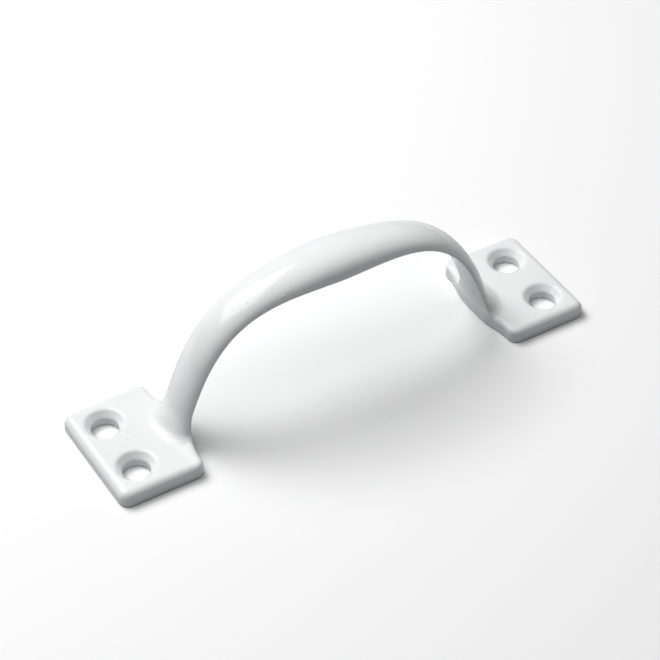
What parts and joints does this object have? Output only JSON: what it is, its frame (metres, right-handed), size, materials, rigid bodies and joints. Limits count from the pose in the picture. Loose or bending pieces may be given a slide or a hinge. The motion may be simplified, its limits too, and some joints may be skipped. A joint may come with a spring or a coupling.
{
  "type": "sash lift handle",
  "caption": "White enamelled cast sash lift: a bowed grip of D section rising from two flat rectangular feet with countersunk screw holes.",
  "frame": {"origin": "midway between the two feet, on the plane of their undersides, which is the face of the sash", "axes": "+X along the handle from the left foot to the right foot, +Y across the handle, +Z away from the sash"},
  "size_m": [0.114, 0.0284, 0.0343],
  "materials": {
    "white_enamel": "gloss"
  },
  "bodies": {
    "root": {"foot_left": "white_enamel", "foot_right": "white_enamel", "grip_bar": "white_enamel"}
  },
  "joints": []
}
